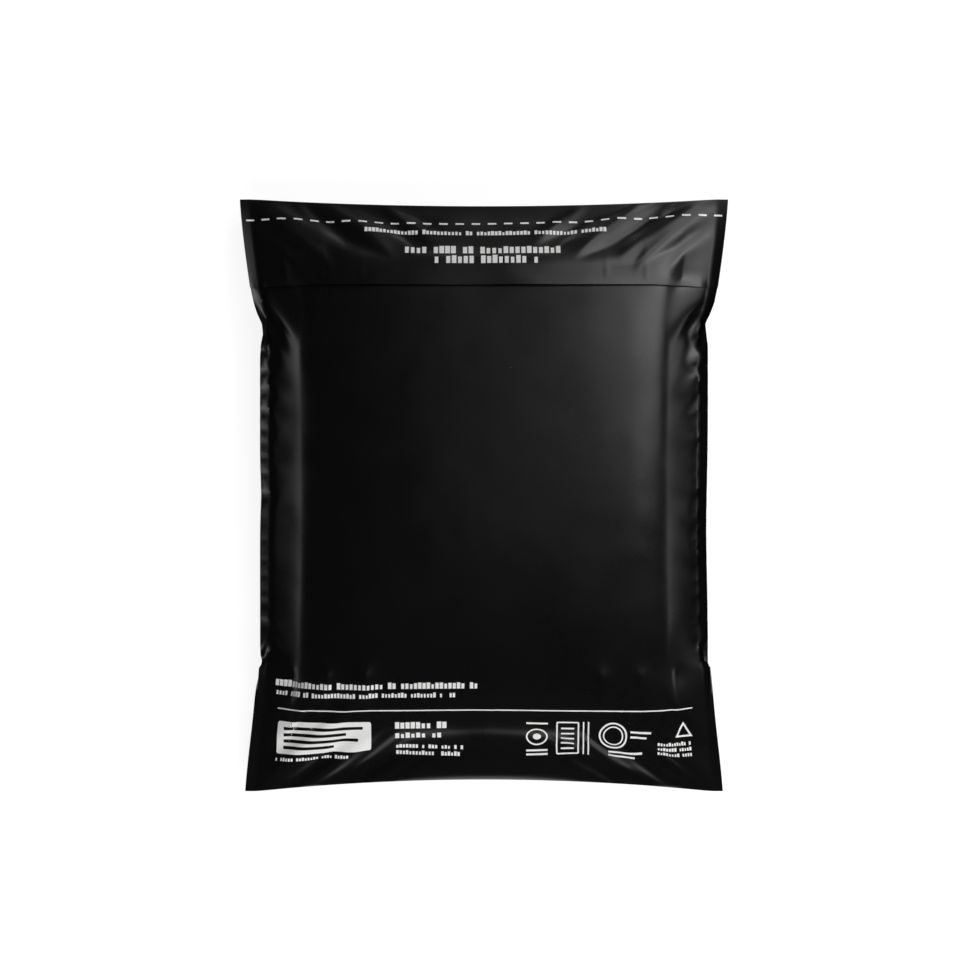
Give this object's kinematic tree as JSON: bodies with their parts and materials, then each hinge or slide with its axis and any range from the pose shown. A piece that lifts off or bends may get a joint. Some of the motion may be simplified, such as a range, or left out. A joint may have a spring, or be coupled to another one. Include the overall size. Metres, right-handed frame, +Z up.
{
  "type": "poly mailer bag",
  "caption": "Filled and sealed black polyethylene mailing bag lying on its back, with a glued closure flap, flat side welds and flared corners.",
  "frame": {"origin": "on the surface that the bag lies on, under the middle of it", "axes": "+Z up, out of the printed front; +Y towards the closure flap; +X to the right when the front is read"},
  "size_m": [0.3076, 0.372, 0.054],
  "materials": {
    "black_film": "semi-gloss"
  },
  "bodies": {
    "root": {"mailer_bag": "black_film"}
  },
  "joints": []
}
